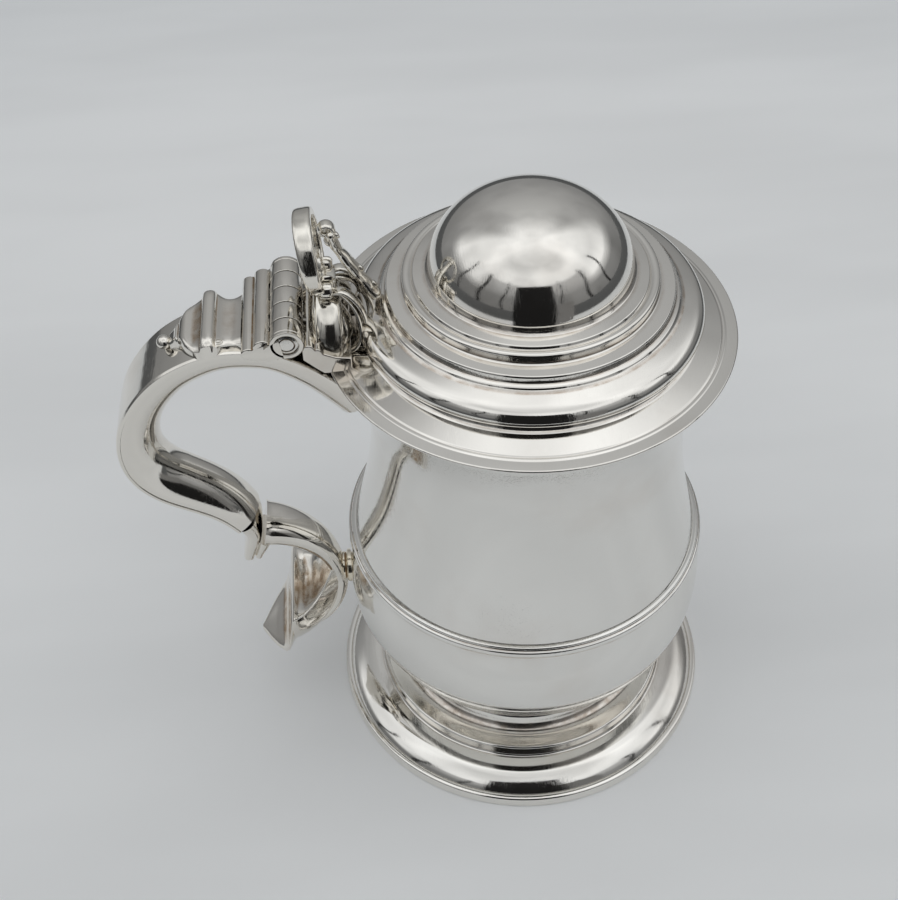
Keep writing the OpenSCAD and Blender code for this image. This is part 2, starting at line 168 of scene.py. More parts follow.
def hollows(mesh, co, normal, reach):
    """How far each point lies under (above 0) or over (below 0) the surface smoothed over about reach
    millimetres, as a share of 0.12 mm. Smoothing moves a point to the mean of its neighbours, the
    nearer ones weighing more."""
    ends = np.zeros(len(mesh.edges) * 2, int)
    mesh.edges.foreach_get("vertices", ends)
    a, b = ends.reshape(-1, 2).T
    length = np.linalg.norm(co[a] - co[b], axis=1)
    pull = 1 / np.maximum(length, 0.05) ** 2
    count = len(co)
    total = np.bincount(a, pull, count) + np.bincount(b, pull, count)
    total = np.maximum(total, 1e-9)[:, None]
    rounds = int(np.clip((reach / max(np.percentile(length, 30), 0.15)) ** 2, 3, 60))
    flat = co.copy()
    for _ in range(rounds):
        pulled = [np.bincount(a, pull * flat[b, k], count) + np.bincount(b, pull * flat[a, k], count)
                  for k in range(3)]
        flat = 0.5 * flat + 0.5 * np.stack(pulled, 1) / total
    return np.clip(np.einsum("ij,ij->i", flat - co, normal) / 0.12, -1, 1)


def node_group(name, inputs, outputs):
    """Empty shader node group with named sockets, and its input and output nodes."""
    tree = bpy.data.node_groups.new(name, "ShaderNodeTree")
    for label, kind, value in inputs:
        socket = tree.interface.new_socket(label, in_out="INPUT", socket_type=kind)
        if value is not None:
            socket.default_value = value
    for label, kind in outputs:
        tree.interface.new_socket(label, in_out="OUTPUT", socket_type=kind)
    return tree, tree.nodes.new("NodeGroupInput"), tree.nodes.new("NodeGroupOutput")


def add(tree, kind, links=(), **settings):
    """New node in the tree: its links are (input, output socket or value), and the rest are settings."""
    node = tree.nodes.new(kind)
    for key, value in settings.items():
        setattr(node, key, value)
    for target, source in links:
        if isinstance(source, bpy.types.NodeSocket):
            tree.links.new(source, node.inputs[target])
        else:
            node.inputs[target].default_value = source
    return node


def maths(tree, operation, a, b=0.0, clamp=False):
    """Result of one Math node."""
    return add(tree, "ShaderNodeMath", [(0, a), (1, b)], operation=operation, use_clamp=clamp).outputs[0]


def ramp(tree, value, low, high, to_low=0.0, to_high=1.0):
    """The value carried smoothly from low..high to to_low..to_high."""
    links = [("Value", value), ("From Min", low), ("From Max", high), ("To Min", to_low), ("To Max", to_high)]
    return add(tree, "ShaderNodeMapRange", links, interpolation_type="SMOOTHSTEP").outputs["Result"]


def noise(tree, place, scale, detail=3.0, roughness=0.5, stretch=(1, 1, 1), turn=(0, 0, 0)):
    """Noise from 0 to 1 with the given number of waves per metre, stretched and turned."""
    moved = add(tree, "ShaderNodeMapping", [("Vector", place), ("Rotation", turn), ("Scale", stretch)])
    links = [("Vector", moved.outputs[0]), ("Scale", scale), ("Detail", detail), ("Roughness", roughness)]
    return add(tree, "ShaderNodeTexNoise", links).outputs["Fac"]


def polish_marks():
    """Group: fine scratches left by polishing cloths. Three sets of stretched noise, each cut to thin
    lines where it crosses its middle value, and a slow haze that says how worn the polish is."""
    tree, start, end = node_group("polish_marks", [
        ("Position", "NodeSocketVector", None), ("Fineness", "NodeSocketFloat", 1.0)],
        [("Height", "NodeSocketFloat"), ("Haze", "NodeSocketFloat")])
    place = add(tree, "ShaderNodeVectorMath", [(0, start.outputs[0])], operation="SCALE")
    tree.links.new(start.outputs[1], place.inputs["Scale"])
    place = place.outputs[0]
    height = 0.0
    for turn, share in (((0.3, 0.2, 0.9), 0.4), ((1.1, 0.7, -0.5), 0.35), ((0.2, 1.5, 0.4), 0.25)):
        lines = noise(tree, place, 900, 2.0, 0.6, (1, 0.035, 0.3), turn)
        off_middle = maths(tree, "ABSOLUTE", maths(tree, "SUBTRACT", lines, 0.5))
        cut = ramp(tree, off_middle, 0.0, 0.03, share, 0.0)
        height = maths(tree, "ADD", cut, height)
    patch = ramp(tree, noise(tree, place, 70, 4.0, 0.6), 0.45, 0.62)
    tree.links.new(maths(tree, "MULTIPLY", height, maths(tree, "MULTIPLY_ADD", patch, 0.8)), end.inputs[0])
    tree.links.new(ramp(tree, noise(tree, place, 120, 5.0, 0.65), 0.35, 0.7), end.inputs[1])
    return tree


def tarnish():
    """Group: thin brown film that a polishing cloth leaves in hollows, with faint clouds of it on the
    open faces. Hollow is the piece's own attribute, and Amount scales both."""
    tree, start, end = node_group("tarnish", [
        ("Position", "NodeSocketVector", None), ("Hollow", "NodeSocketFloat", 0.0),
        ("Amount", "NodeSocketFloat", 1.0), ("Clean", "NodeSocketColor", None),
        ("Film", "NodeSocketColor", None)],
        [("Colour", "NodeSocketColor"), ("Mask", "NodeSocketFloat")])
    place, hollow, amount, clean, film = start.outputs[:5]
    broken = ramp(tree, noise(tree, place, 320, 5.0, 0.6), 0.3, 0.7, 0.35, 1.0)
    deep = maths(tree, "MULTIPLY", ramp(tree, hollow, 0.12, 0.9), broken)
    clouds = ramp(tree, noise(tree, place, 26, 4.0, 0.55), 0.50, 0.76, 0.0, 0.24)
    mask = maths(tree, "MULTIPLY", maths(tree, "ADD", deep, clouds), amount, clamp=True)
    mixed = add(tree, "ShaderNodeMix", data_type="RGBA")
    tree.links.new(mask, mixed.inputs["Factor"])
    tree.links.new(clean, mixed.inputs[6])
    tree.links.new(film, mixed.inputs[7])
    tree.links.new(mixed.outputs[2], end.inputs[0])
    tree.links.new(mask, end.inputs[1])
    return tree


def pits():
    """Group: small round pits, one in about nine cells of a Voronoi pattern."""
    tree, start, end = node_group("pits", [
        ("Position", "NodeSocketVector", None), ("Cells", "NodeSocketFloat", 160.0)],
        [("Mask", "NodeSocketFloat")])
    cells = add(tree, "ShaderNodeTexVoronoi", [("Vector", start.outputs[0]), ("Scale", start.outputs[1])])
    dot = ramp(tree, cells.outputs["Distance"], 0.03, 0.075, 1.0, 0.0)
    chosen = add(tree, "ShaderNodeSeparateColor", [("Color", cells.outputs["Color"])]).outputs[0]
    tree.links.new(maths(tree, "MULTIPLY", dot, maths(tree, "GREATER_THAN", chosen, 0.89)), end.inputs[0])
    return tree


POLISH, TARNISH, PITS = polish_marks(), tarnish(), pits()


def silvery(name, clean, film, tarnished, rough, scratched, fineness=1.0, pitted=0.5):
    """Polished white metal: clean colour and film colour mixed by the tarnish group, roughness from the
    haze and the film, and a bump of scratches and pits."""
    material = bpy.data.materials.new(name)
    material.use_nodes = True
    tree = material.node_tree
    shader = tree.nodes["Principled BSDF"]
    place = add(tree, "ShaderNodeTexCoord").outputs["Object"]
    hollow = add(tree, "ShaderNodeAttribute", attribute_name="hollow").outputs["Fac"]
    marks = add(tree, "ShaderNodeGroup", node_tree=POLISH)
    film_group = add(tree, "ShaderNodeGroup", node_tree=TARNISH)
    pit = add(tree, "ShaderNodeGroup", node_tree=PITS)
    for group in (marks, film_group, pit):
        tree.links.new(place, group.inputs["Position"])
    marks.inputs["Fineness"].default_value = fineness
    tree.links.new(hollow, film_group.inputs["Hollow"])
    film_group.inputs["Amount"].default_value = tarnished
    film_group.inputs["Clean"].default_value = (*clean, 1)
    film_group.inputs["Film"].default_value = (*film, 1)
    tree.links.new(film_group.outputs["Colour"], shader.inputs["Base Color"])
    shader.inputs["Metallic"].default_value = 1.0
    haze = ramp(tree, marks.outputs["Haze"], 0.0, 1.0, rough * 0.7, rough * 1.5)
    dull = maths(tree, "MULTIPLY", film_group.outputs["Mask"], 0.3)
    tree.links.new(maths(tree, "ADD", haze, dull), shader.inputs["Roughness"])
    scratches = maths(tree, "MULTIPLY", marks.outputs["Height"], -scratched)
    dents = maths(tree, "MULTIPLY", pit.outputs["Mask"], -pitted)
    bump = add(tree, "ShaderNodeBump", [("Height", maths(tree, "ADD", scratches, dents)), ("Strength", 1.0),
                                        ("Distance", 0.00001)])
    tree.links.new(bump.outputs[0], shader.inputs["Normal"])
    return material


wall = 1.2
mouth_z = 156.4
floor_z = 23.2
lower_wall = fair_line([[36.5, 23.2], [41, 25.2], [46.5, 30], [51.4, 36.6], [54.6, 43], [56.8, 50.5],
                        [57.3, 57.5], [56.7, 65.5], [55, 73.2], [54.4, 77.2]])
upper_wall = fair_line([[53.9, 79], [51.8, 87], [49.7, 96], [48, 106], [46.9, 116], [46.6, 125],
                        [47.3, 134], [48.8, 141], [50.8, 147.5], [52.3, 152.5], [52.8, mouth_z]])
body_outline = np.vstack([lower_wall, upper_wall])
body_metal = silvery("polished body", (0.84, 0.83, 0.80), (0.52, 0.42, 0.34), 0.7, 0.05, 1.3)
raised_body = piece("raised_body", [turned(np.vstack([
    [[0, floor_z], [12, floor_z], [24, floor_z]], body_outline,
    beside(body_outline, wall)[::-1], [[24, floor_z + wall], [12, floor_z + wall], [0, floor_z + wall]]]),
    closed=False)], body_metal, planish=0.11)
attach(raised_body, "tankard")
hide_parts("body_shell")

# ---- mouth moulding and girdle ----
# Two drawn mouldings bent round the body and soldered on: one stiffens the rim, and the other covers
# the widest part of the waist with a rounded reed between two fine steps.
mouth_moulding = piece("mouth_wire", [turned(eased([
    [50.5, 151.6], [53, 151.6], [53.7, 152.4], [53.4, 153], [54.1, 153.9], [54.3, 154.9], [54, 155.9],
    [53.4, 156.4], [50.5, 156.4]]))], body_metal)
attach(mouth_moulding, "tankard")
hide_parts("mouth_moulding")

girdle = piece("girdle_reed", [turned(eased([
    [52, 73.1], [55.4, 73.1], [55.9, 73.5], [55.7, 74.5], [56.1, 74.9], [56.5, 75.9], [56.2, 77],
    [55.4, 77.4], [55.2, 78.1], [54.2, 78.4], [52, 78.4]]))], body_metal)
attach(girdle, "tankard")
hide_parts("girdle_band")

# ---- foot ----
# Raised and turned foot in three pieces: a collar where it meets the body, the spreading shell with
# a quarter-round step and an ogee, and a stout wire soldered round the edge that stands on the table.
foot_face = np.vstack([
    fair_line([[36.6, 19.2], [39, 17.2], [40.1, 14.6], [41.6, 13.2], [44.4, 12.7], [47.8, 12.9]], 0.4),
    [[48.3, 12.5], [48.5, 9.4], [49, 8.9]],
    fair_line([[51.4, 8.8], [54.6, 8.2], [57.2, 6.9], [59.4, 5.3], [60.4, 4.1]], 0.4)])
foot_metal = silvery("polished foot", (0.86, 0.84, 0.80), (0.40, 0.30, 0.22), 0.9, 0.055, 0.7)
foot_shell = piece("foot_spread", [turned(eased(np.vstack([
    foot_face, beside(foot_face, -wall)[::-1]]), 0.35))], foot_metal, planish=0.03)
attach(foot_shell, "tankard")
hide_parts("foot_shell")

foot_collar = piece("foot_neck_ring", [turned(eased([
    [34.8, 19.4], [36.7, 19.2], [38, 18.3], [38.6, 19], [38.3, 19.6], [39, 20.3], [39.1, 21.2], [38.4, 21.9],
    [37.8, 23.6], [36.4, 23.2], [34.8, 23.2]], 0.35))], foot_metal)
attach(foot_collar, "tankard")
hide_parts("foot_collar")

foot_wire = piece("foot_edge_wire", [turned(eased([
    [58.2, 0], [62.2, 0], [62.5, 0.3], [62.5, 3.2], [62.1, 3.9], [61.3, 4.1], [60.4, 4.1], [59.4, 3],
    [58.2, 3]]))], foot_metal)
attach(foot_wire, "tankard")
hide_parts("foot_wire")

# ---- lid ----
# Raised in one piece with a separate bezel: a dome on two stepped rings and a bold round moulding,
# then a cavetto and a flat flange with scribed lines that overhangs the mouth.
dome_z, dome_r, dome_h = 178, 28, 21.4
arc = np.radians(np.linspace(90, 0, 64))
lid_face = np.vstack([
    np.stack([dome_r * np.cos(arc), dome_z + dome_h * np.sin(arc)], 1),
    [[28.7, 177.2], [32.1, 176.7], [32.4, 176.2]],
    fair_line([[32.6, 175.9], [33.8, 176.3], [35, 175.8], [35.1, 174.8]], 0.3),
    [[35.1, 173.5], [35.6, 173.2], [39.3, 173], [39.6, 172.6], [39.7, 170.8], [40.8, 170.4], [41.2, 169.8]],
    fair_line([[42, 169.3], [44.4, 168.4], [46.6, 167.3], [48, 165.6], [48.2, 163.8], [47.4, 162.5]], 0.3),
    fair_line([[46.8, 162.2], [46.4, 161.2], [47.4, 160.2]], 0.3),
    [[53.2, 158.35], [53.6, 158.05], [54.1, 158.05], [54.4, 157.95], [54.7, 157.8], [57.7, 157.6],
     [58, 157.3], [58, 157.0], [57.7, 156.7]]])
lid_lining = np.vstack([
    [[50.6, 156.7], [45.4, 158.6]],
    fair_line([[45, 160.4], [45.4, 162.8], [46.6, 164.4], [45.2, 166.4], [41.6, 167.8]], 0.8),
    [[38.3, 169.4], [38.1, 171.6], [33.8, 172], [33.6, 174.5], [27.6, 175.9]],
    np.stack([(dome_r - wall) * np.cos(arc[::-2]), dome_z + (dome_h - wall) * np.sin(arc[::-2])], 1)])
lid_metal = silvery("polished lid", (0.87, 0.845, 0.80), (0.40, 0.30, 0.22), 0.8, 0.045, 0.6)
lid_outline = np.vstack([lid_face, lid_lining, [[0, dome_z + dome_h - wall]]])
lid_cover = piece("stepped_lid", [turned(eased(lid_outline, 0.3, closed=False), closed=False)], lid_metal,
                  planish=0.04)
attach(lid_cover, "lid")
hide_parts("lid_cover")

bezel = piece("lid_bezel_ring", [turned(eased([
    [48.7, 151.6], [49.5, 151.4], [49.7, 151.8], [49.7, 156.95], [48.7, 157.2]], 0.2))], lid_metal)
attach(bezel, "lid")
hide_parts("lid_bezel")

# ---- handle ----
# Double-scroll handle: a flat strap bent over a rounded channel and soldered along both edges.
# The strap ends in a spur, and a lighter solid scroll carries on from the channel to the belly.


def carried(path, across, outward):
    """Grid of a section carried along a path in the handle's plane. A section point stands 'across'
    along the hinge direction and 'outward' square to the path, on its outer side."""
    run = np.gradient(path, axis=0)
    run /= np.linalg.norm(run, axis=1, keepdims=True)
    return np.stack([-(path[:, :1] - outward * run[:, 1:]), across + 0 * outward,
                     path[:, 1:] + outward * run[:, :1]], -1)


strap_t = 1.4
channel_depth = 11
strap_path = fair_line([
    [46.5, 141], [52.4, 147.8], [58, 153.4], [64, 158], [71, 161.6], [79, 163.1], [86, 163.1], [92, 161.7],
    [97.5, 159.3], [102.7, 156.2], [107.6, 152], [112, 146.9], [115.8, 141], [118.6, 134.4], [120.1, 127.5],
    [120.2, 120.5], [118.5, 113.6], [115, 107.6], [110.2, 102.8], [104.6, 99], [98.8, 95.2], [94, 90.9],
    [90.4, 86.1]])
share = np.linspace(0, 1, len(strap_path))[:, None]
strap_half = (24.5 - 6.5 * share) / 2
handle_metal = silvery("polished handle", (0.84, 0.81, 0.755), (0.40, 0.29, 0.19), 1.0, 0.055, 0.8)
strap_ring = eased([
    [-1, -strap_t], [1, -strap_t], [1, -0.5], [0.93, -0.12], [0.5, -0.03], [0, 0], [-0.5, -0.03],
    [-0.93, -0.12], [-1, -0.5]], 0.06, turn=0)
strap = piece("handle_crown_strap", [skin(carried(strap_path, strap_half * strap_ring[:, 0],
                                                  strap_ring[:, 1] + 0 * share))], handle_metal, planish=0.05)
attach(strap, "tankard")
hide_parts("handle_strap")

channel_deep = channel_depth - 3.4 * np.clip((share - 0.84) / 0.16, 0, 1) ** 1.5
arc = np.linspace(np.pi, 0, 41)
channel_y = np.concatenate([np.cos(arc), np.cos(arc[::-2])])[None, :]
channel_out = np.concatenate([np.sin(arc), np.sin(arc[::-2])])[None, :]
inset = np.concatenate([np.full(41, 0.3), np.full(21, 0.3 + wall)])[None, :]
channel = piece("handle_round_channel", [skin(carried(
    strap_path, (strap_half - inset) * channel_y,
    -strap_t - (channel_deep - inset) * channel_out))], handle_metal, planish=0.05)
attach(channel, "tankard")
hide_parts("handle_channel")

# Spur of the strap: it turns down at the seam and thins to a blunt tip. Cast solid and soldered on.
spur_path = fair_line([[90.4, 86.1], [89, 82.4], [89.3, 77.5], [90.2, 72.4], [91, 67.2]], 0.4)
share = np.linspace(0, 1, len(spur_path))[:, None]
tip = np.sqrt(np.clip((1 - share) / 0.1, 0, 1))
spur_half = 9 * (1 - 0.45 * share) * (0.35 + 0.65 * tip)
spur_deep = (6.5 - 3.3 * share) * (0.5 + 0.5 * tip)
turn = np.linspace(0, 2 * np.pi, 48, endpoint=False)[None, :]


def blunt(value, power):
    """The value with its sign kept and its size raised to a power: below one it squares off an oval."""
    return np.sign(value) * np.abs(value) ** power


spur = piece("handle_spur_tip", [skin(carried(spur_path, spur_half * blunt(np.cos(turn), 0.55),
                                              spur_deep * (blunt(np.sin(turn), 0.7) - 1) / 2))],
             handle_metal, planish=0.05)
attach(spur, "tankard")
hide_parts("handle_spur")

# Lower scroll: a tapering oval bar that leaves the seam, touches the belly and swells into its tail.
scroll_path = fair_line([[82.6, 80.6], [78, 79.4], [72.8, 76.6], [67.8, 72], [64, 65.8], [61.6, 58.4],
                         [60.8, 50.6], [62, 43.4], [65.2, 37], [69.8, 32.9], [74.2, 31.8]], 0.6)
share = np.linspace(0, 1, len(scroll_path))[:, None]
swell = np.clip((share - 0.6) / 0.4, 0, 1)
scroll_half = (15.5 - 8.5 * np.minimum(1, 1.7 * share) + 3 * swell) / 2
scroll_deep = (10.6 - 5.4 * np.minimum(1, 1.9 * share) - 2.6 * swell) / 2
collar = 1 + 0.05 * np.exp(-(share / 0.012) ** 2)
lower_scroll = piece("lower_scroll_bar", [skin(carried(
    scroll_path, scroll_half * collar * blunt(np.cos(turn), 0.85),
    scroll_deep * collar * blunt(np.sin(turn), 0.8)))], handle_metal, planish=0.06)
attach(lower_scroll, "tankard")
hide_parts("lower_scroll")

# Heel: the second lobe beside the spur, on the scroll's side of the seam.
heel_path = fair_line([[83, 77], [84.2, 73.6], [85.4, 70.4], [86.4, 66.6]], 0.3)
share = np.linspace(0, 1, len(heel_path))[:, None]
tip = np.sqrt(np.clip((1 - share) / 0.14, 0, 1))
heel = piece("scroll_heel_lobe", [skin(carried(
    heel_path, (6.5 - 2.5 * share) * (0.3 + 0.7 * tip) * blunt(np.cos(turn), 0.7),
    (2.6 - 1.3 * share) * (0.3 + 0.7 * tip) * blunt(np.sin(turn), 0.8)))], handle_metal)
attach(heel, "tankard")
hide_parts("scroll_heel")

# Lower socket: a small turned collar and bead that carry the scroll on the belly, brown with solder.
socket_metal = silvery("browned socket", (0.80, 0.74, 0.62), (0.34, 0.22, 0.12), 1.6, 0.1, 0.8)
socket_z = 56.4
reach_in, collar_r = -56.6, np.array([0, 5.4, 5.4, 4.9, 4.3, 4.3, 4.7, 4.7, 4.2, 3.6, 0])
collar_x = reach_in - np.array([0, 0, 1.3, 1.7, 1.9, 2.1, 2.4, 2.8, 3.1, 3.3, 3.3])
around = np.linspace(0, 2 * np.pi, 96, endpoint=False)
socket = piece("lower_socket_collar", [skin(np.stack([
    collar_x[:, None] + 0 * around, collar_r[:, None] * np.cos(around),
    socket_z + collar_r[:, None] * np.sin(around)], -1))], socket_metal)
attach(socket, "tankard")
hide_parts("lower_socket")

# Terminal: the scroll's tail flares into a cast shield with a dished face and a straight lip, and drops
# from the lip into a leaf that comes to a point. Each row: place, top, underside, half width, dish.
stations = np.array([
    [61.6, 60.6, 41, 3.4, 0], [63.5, 58.8, 37.5, 5, 0.8], [67, 54.2, 33.5, 8.7, 2.6],
    [70, 51.6, 31, 11.4, 4.2], [73, 50.3, 29.9, 13.8, 4.6], [75.4, 50.2, 29.4, 15.4, 2.2],
    [76.5, 50.6, 29.2, 16, 0], [77.3, 49.8, 29.1, 16.2, 0], [78, 46.2, 29, 16.4, 0],
    [78.7, 41.4, 28.8, 16.4, 0], [79.6, 36.6, 28.6, 16.1, 0.3], [81, 33.4, 28.2, 14.8, 0.6],
    [84, 31.2, 27.6, 11, 0.6], [87, 29.2, 26.9, 5.8, 0.3], [89.4, 27.4, 26.6, 0.8, 0]])
t = np.linspace(0, 1, 150)
stations = np.stack([np.interp(t, np.linspace(0, 1, len(stations)), stations[:, k]) for k in range(5)], 1)
for _ in range(6):
    stations[1:-1] = (stations[:-2] + 2 * stations[1:-1] + stations[2:]) / 4
place, top, under, half, dish = stations.T[:, :, None]
turn = np.linspace(0, 2 * np.pi, 96, endpoint=False)[None, :]
y = half * blunt(np.cos(turn), 0.62)
rise = blunt(np.sin(turn), 0.75)
bowl = dish * np.maximum(rise, 0) * (1 - (y / half) ** 2) ** 1.5
edge_round = 1.4
flank = top - edge_round + rise * (top - edge_round - under) * (1 - 0.25 * (y / half) ** 2)
height = np.where(rise > 0, top - (1 - rise) * edge_round, flank)
terminal_skin = skin(np.stack([-place + 0 * y, y, height - bowl], -1))
shield = piece("terminal_shield_leaf", [terminal_skin], handle_metal)
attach(shield, "tankard")
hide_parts("terminal_shield")

# ---- drop ----
# Cast drop soldered along the crown of the strap, with cross reeds, hollows and a scalloped edge that
# narrows to a bead. The solder line round it is dark.
drop_x = np.linspace(79.4, 99.8, 150)
drop_top = eased(np.vstack([
    fair_line([[79.4, 166.4], [81.6, 165.6], [84.4, 165.9], [86, 166.7]], 0.3),
    fair_line([[86.2, 166.5], [86.9, 167.8], [88.4, 168.1], [89.8, 167.6], [90.4, 166]], 0.2),
    fair_line([[90.7, 165.2], [92.6, 164.4], [95.2, 164.6], [96.8, 163.4]], 0.3),
    [[97.1, 162.6], [97.9, 162.7], [98.4, 161.8], [99.8, 160.4]]]), 0.3, closed=False)
upper = strap_path[:, 1] > 140
crown = np.interp(drop_x, strap_path[upper, 0], strap_path[upper, 1])
top = np.maximum(np.interp(drop_x, drop_top[:, 0], drop_top[:, 1]), crown + 0.3)[:, None]
edge = fair_line([[79.4, 10.6], [81.6, 9.7], [84.4, 9.9], [86.2, 11.2], [88.6, 11.9], [91, 11.3], [93.4, 9.4],
                  [95.6, 6.6], [97, 4.2], [98.4, 2.9], [99.8, 2.2]], 0.4)
half = np.interp(drop_x, edge[:, 0], edge[:, 1])[:, None]
across = np.concatenate([np.sin(np.linspace(-np.pi / 2, np.pi / 2, 61)), [1, 0.5, 0, -0.5, -1]])[None, :]
lift = np.concatenate([1 - 0.28 * np.abs(across[0, :61]) ** 9, np.zeros(5)])[None, :]
base = crown[:, None] - 0.5
drop_skin = skin(np.stack([-drop_x[:, None] + 0 * across, half * across, base + (top - base) * lift], -1))
drop = piece("reeded_drop", [drop_skin], handle_metal)
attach(drop, "tankard")
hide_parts("handle_drop")

bead_angle = np.linspace(-np.pi / 2, np.pi / 2, 25)
bead_x, bead_z, bead_r = -101.6, 159, 2.1
bead_ring = np.stack([bead_r * np.cos(bead_angle) * (1 + 0.04 * np.cos(3 * bead_angle)),
                      bead_r * np.sin(bead_angle)], 1)
around = np.linspace(0, 2 * np.pi, 48, endpoint=False)
bead = piece("drop_end_bead", [skin(np.stack([
    bead_x + bead_ring[:, :1] * np.cos(around), bead_ring[:, :1] * np.sin(around),
    bead_z + bead_ring[:, 1:] + 0 * around], -1))], handle_metal)
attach(bead, "tankard")
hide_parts("drop_bead")

# ---- hinge ----
# Five-knuckle barrel hinge: three knuckles on a reeded block soldered to the handle, two on the lid's
# reeded leaf, and one pin through them all, closed at each end by a cap let into the barrel.
pin_x, pin_z, knuckle_r, knuckle_l = -66.8, 168.8, 4.5, 6.6
knuckle_gap, bore_r, cap_r, swing_r = 0.3, 1.62, 3.35, 4.85
hinge_metal = silvery("polished hinge", (0.80, 0.77, 0.715), (0.30, 0.21, 0.13), 1.3, 0.065, 0.9)


def reed(x, z, radius, first, last, count=22):
    """Points on the rounded edge of a reed in the side view, from one angle in degrees to another."""
    angle = np.radians(np.linspace(first, last, count))
    return np.stack([x + radius * np.cos(angle), z + radius * np.sin(angle)], 1)


def cleared(outline, step=0.25):
    """The closed outline with its sides divided into short steps, and every point nearer the pin than the
    swing of the knuckles pushed straight out to that radius."""
    ends = np.roll(outline, -1, 0)
    count = int(np.ceil(np.linalg.norm(ends - outline, axis=1).max() / step))
    t = np.linspace(0, 1, count, endpoint=False)[None, :, None]
    fine = (outline[:, None] * (1 - t) + ends[:, None] * t).reshape(-1, 2)
    gaps = np.linalg.norm(np.diff(fine, axis=0, append=fine[:1]), axis=1)
    reach = np.concatenate([[0], np.cumsum(gaps)])
    even = np.linspace(0, reach[-1], int(reach[-1] / step), endpoint=False)
    closed = np.vstack([fine, fine[:1]])
    fine = np.stack([np.interp(even, reach, closed[:, k]) for k in range(2)], 1)
    from_pin = fine - [pin_x, pin_z]
    away = np.linalg.norm(from_pin, axis=1, keepdims=True)
    return np.where(away < swing_r, [pin_x, pin_z] + from_pin * swing_r / np.maximum(away, 0.01), fine)


def bar(outline, first, last, soften=0.35):
    """Skin of a closed [x, z] outline drawn along Y from first to last, its end edges rounded by stepping
    the outline inwards along a quarter circle."""
    run = np.roll(outline, -1, 0) - np.roll(outline, 1, 0)
    run /= np.maximum(np.linalg.norm(run, axis=1, keepdims=True), 1e-9)
    inward = np.stack([-run[:, 1], run[:, 0]], 1)
    area = np.sum(outline[:, 0] * np.roll(outline[:, 1], -1) - outline[:, 1] * np.roll(outline[:, 0], -1))
    inward *= np.sign(area)
    angle = np.linspace(0, np.pi / 2, 5)
    along = np.concatenate([first + soften * (1 - np.sin(angle)), last - soften * (1 - np.sin(angle[::-1]))])
    order = np.concatenate([np.argsort(along[:5]), 5 + np.argsort(along[5:])])
    step = np.concatenate([soften * (1 - np.cos(angle)), soften * (1 - np.cos(angle[::-1]))])
    along, step = along[order], step[order]
    ring = outline[None] + step[:, None, None] * inward[None]
    return skin(np.stack([ring[..., 0], np.broadcast_to(along[:, None], ring.shape[:2]), ring[..., 1]], -1))


block_half, block_z = 15.5, 163.2
block_outline = cleared(np.vstack([
    [[-69.5, block_z], [-75.6, block_z], [-78.4, 164.2]], reed(-77.2, 165.6, 2.1, 200, 62),
    reed(-73.3, 167.5, 2.6, 178, 20), [[-69.5, 168]]]))
block = piece("reeded_hinge_block", [bar(block_outline, -block_half, block_half)], hinge_metal)
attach(block, "tankard")
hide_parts("hinge_block")

half_l = (knuckle_l - knuckle_gap) / 2
plain_end = [[bore_r, half_l], [knuckle_r, half_l], [knuckle_r, -half_l], [bore_r, -half_l]]
capped_end = [[bore_r, half_l - 1], [cap_r + 0.01, half_l - 1], [cap_r + 0.01, half_l], [knuckle_r, half_l],
              [knuckle_r, half_l - 1.1], [knuckle_r - 0.12, half_l - 1.25], [knuckle_r, half_l - 1.4],
              [knuckle_r, -half_l], [bore_r, -half_l]]
fixed_web = np.array([[-67.8, 164.6], [-72.5, 163.6], [-73, 168], [-68.8, 171]])
lid_web = np.array([[-65.8, 164.8], [-60.6, 162.6], [-60.6, 166.4], [-64.8, 171]])
for name, place, body, web, end in (
        ("fixed_knuckle_front", -2, "tankard", fixed_web, capped_end),
        ("lid_knuckle_front", -1, "lid", lid_web, plain_end),
        ("fixed_knuckle_middle", 0, "tankard", fixed_web, plain_end),
        ("lid_knuckle_back", 1, "lid", lid_web, plain_end),
        ("fixed_knuckle_back", 2, "tankard", fixed_web, capped_end)):
    middle = place * knuckle_l
    outline = np.array(end) * [1, -1 if place < 0 else 1] + [0, middle]
    knuckle = piece(name + "_barrel", [
        turned(eased(outline, 0.22), around=120, centre=(pin_x, pin_z), axis="y"),
        bar(web, middle - half_l, middle + half_l, 0.1)], hinge_metal)
    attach(knuckle, body)
    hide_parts(name)

pin_metal = silvery("filed pin", (0.82, 0.80, 0.76), (0.26, 0.20, 0.15), 1.3, 0.16, 2.5, 2.2, 6.0)
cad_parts["hinge_pin"].data.materials.clear()
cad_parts["hinge_pin"].data.materials.append(pin_metal)
for name, side in (("pin_cap_front", -1), ("pin_cap_back", 1)):
    foot = side * 15.35
    cap_outline = [[r, foot + side * v] for r, v in (
        (0, 0), (cap_r - 0.05, 0), (cap_r - 0.05, 0.2), (cap_r - 0.35, 0.25), (cap_r - 0.4, 0.62),
        (cap_r - 0.7, 0.74), (2.35, 0.8), (2.25, 0.3), (2.0, 0.3), (1.9, 0.78), (1.1, 0.86), (0, 0.9))]
    cap = piece(name + "_disc", [turned(
        cap_outline, closed=False, around=96, centre=(pin_x, pin_z), axis="y")], pin_metal)
    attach(cap, "tankard")
    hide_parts(name)

leaf_outline = cleared(np.vstack([
    [[-62.9, 162.4]], reed(-61.3, 165.8, 1.6, 180, 25), reed(-58.9, 164.9, 1.0, 120, 20),
    [[-57.4, 164.2], [-54, 162.6], [-50, 162], [-50, 157.4], [-57.6, 157.2], [-59.6, 159]]]))
leaf = piece("reeded_lid_leaf", [bar(leaf_outline, -block_half, block_half)], hinge_metal)
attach(leaf, "lid")
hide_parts("lid_leaf")

